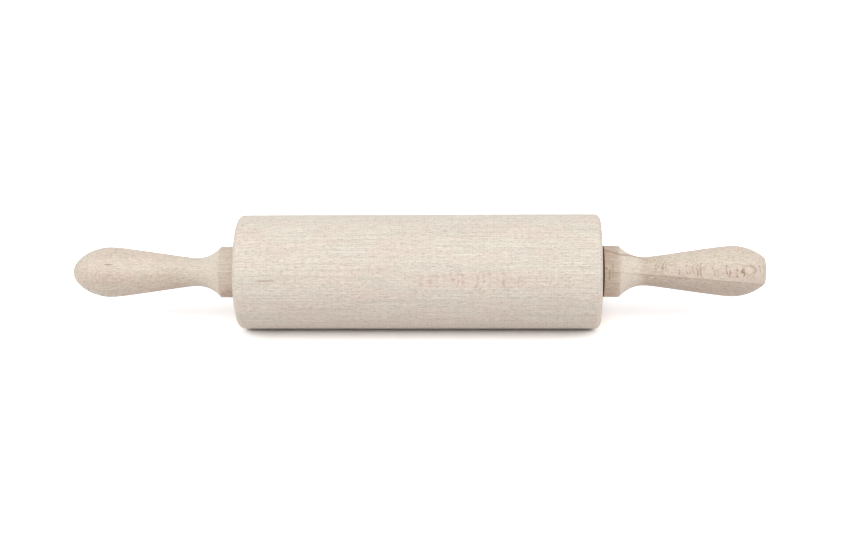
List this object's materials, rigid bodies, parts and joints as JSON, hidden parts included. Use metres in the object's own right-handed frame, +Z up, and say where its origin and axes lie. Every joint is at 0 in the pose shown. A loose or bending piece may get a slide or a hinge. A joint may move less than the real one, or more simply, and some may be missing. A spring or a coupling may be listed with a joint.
{
  "type": "rolling pin",
  "caption": "Wooden rolling pin: a turned beech roller with rounded rims spins on a steel axle between two turned handles, for rolling out dough.",
  "frame": {"origin": "on the resting plane, straight under the middle of the roller's length", "axes": "+X along the axle towards the right-hand handle in the picture, +Z up, +Y away from the camera"},
  "size_m": [0.4222, 0.0694, 0.0695],
  "materials": {
    "roller_beech": "sanded beech, bare, fine long grain",
    "handle_beech": "sanded beech, bare, stronger grain",
    "axle_steel": "drawn bar, lightly polished where it runs",
    "washer_steel": "punched and tumbled",
    "bush_nylon": "moulded natural nylon",
    "insert_brass": "turned"
  },
  "bodies": {
    "roller": {"roller": "roller_beech", "left_bush": "bush_nylon", "right_bush": "bush_nylon"},
    "washers": {"left_washer": "washer_steel", "right_washer": "washer_steel"},
    "handles": {"axle_rod": "axle_steel", "left_insert": "insert_brass", "right_insert": "insert_brass", "left_handle": "handle_beech", "right_handle": "handle_beech"}
  },
  "joints": [
    {"name": "roller_spin", "type": "hinge", "parent": "roller", "child": "washers", "pos_m": [0, 0, 0.03475], "axis": [1, 0, 0], "continuous": true},
    {"name": "end_float", "type": "slide", "parent": "washers", "child": "handles", "axis": [1, 0, 0], "range_m": [-0.00045, 0.00045]}
  ]
}
